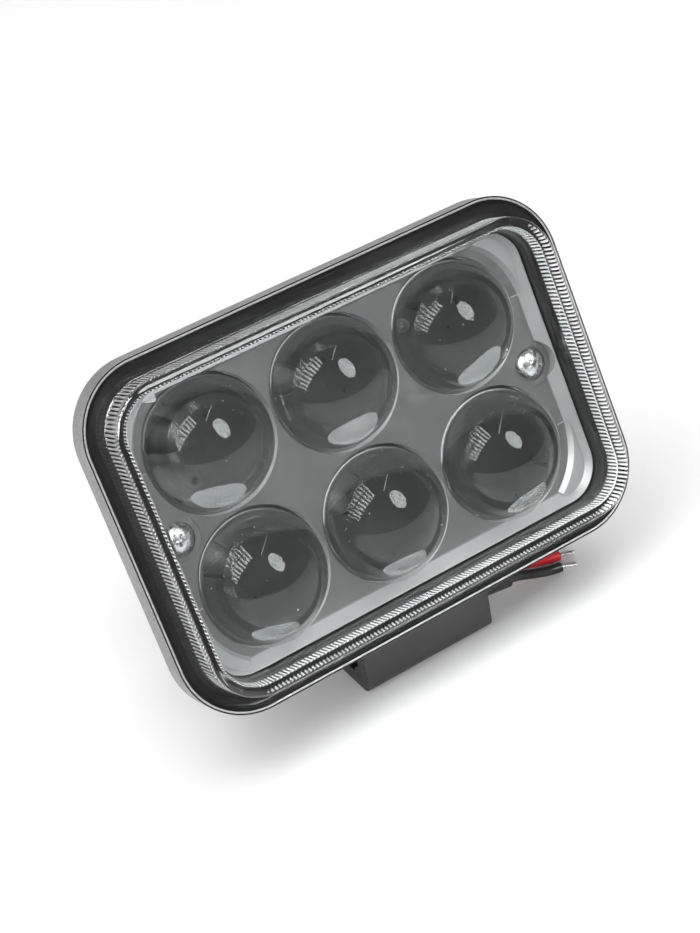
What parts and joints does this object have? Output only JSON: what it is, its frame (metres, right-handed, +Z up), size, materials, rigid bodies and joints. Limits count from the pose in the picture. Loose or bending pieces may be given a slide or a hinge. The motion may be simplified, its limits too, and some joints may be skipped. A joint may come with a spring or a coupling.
{
  "type": "fog light",
  "caption": "Compact rectangular LED fog light with projector lenses under a clear raised cover, a finned die-cast housing, a tilting steel foot and a bare-ended pigtail",
  "frame": {"origin": "centre of the mounting hole on the underside of the foot, on the surface that the foot is bolted to", "axes": "+Z up, away from the mounting surface; the lenses face -Y (and 23.5 degrees up at rest); +X is along the width, to the right of someone looking at the lenses"},
  "size_m": [0.095, 0.0898, 0.0741],
  "materials": {
    "black_casting": "die-cast, black powder coat with a fine grain, glossy on the machined front rim",
    "clear_cover": "clear moulded polycarbonate, polished face, fluted side walls",
    "black_rubber": "moulded, satin",
    "grey_tray": "moulded in grey metallic plastic, satin",
    "bright_steel": "zinc-plated, bright",
    "lens_glass": "solid clear optical resin, polished dome",
    "black_plastic": "moulded, matt",
    "board": "circuit board with a white solder mask",
    "thermal_pad": "soft silicone sheet",
    "led_phosphor": "ceramic base with a yellow phosphor and a clear dome",
    "bright_aluminium": "bright can",
    "painted_steel": "pressed steel, smooth dark satin paint",
    "black_steel": "steel, blackened",
    "cable_jacket": "two-core cable jacket, satin",
    "wire_red": "PVC insulation, satin",
    "wire_black": "PVC insulation, satin",
    "tinned_copper": "twisted copper strands, dipped in solder"
  },
  "bodies": {
    "foot": {"foot_bracket": "painted_steel", "pivot_bolt": "black_steel", "pivot_nut": "bright_steel", "bolt_washers": "bright_steel", "friction_washers": "black_plastic", "supply_cable": "cable_jacket", "red_wire": "wire_red", "black_wire": "wire_black", "red_wire_tip": "tinned_copper", "black_wire_tip": "tinned_copper"},
    "lamp_head": {"housing": "black_casting", "cover_lens": "clear_cover", "cover_gasket": "black_rubber", "reflector_tray": "grey_tray", "tray_screws": "bright_steel", "projector_lens_1": "lens_glass", "projector_lens_2": "lens_glass", "projector_lens_3": "lens_glass", "projector_lens_4": "lens_glass", "projector_lens_5": "lens_glass", "projector_lens_6": "lens_glass", "lens_carrier": "black_plastic", "led_board": "board", "led_chip_1": "led_phosphor", "led_chip_2": "led_phosphor", "led_chip_3": "led_phosphor", "led_chip_4": "led_phosphor", "led_chip_5": "led_phosphor", "led_chip_6": "led_phosphor", "board_screws": "bright_steel", "thermal_pad": "thermal_pad", "driver_board": "board", "driver_inductor": "black_plastic", "driver_capacitor": "bright_aluminium", "driver_chip": "black_plastic", "driver_screws": "bright_steel", "inner_leads": "wire_red", "breather_vent": "black_plastic", "cable_grommet": "black_rubber", "pivot_bush": "bright_steel"}
  },
  "joints": [
    {"name": "head_tilt", "type": "hinge", "parent": "foot", "child": "lamp_head", "pos_m": [0, 0.0043, 0.0167], "axis": [-1, 0, 0], "range_deg": [-5, 25], "deforming": ["supply_cable"]}
  ]
}
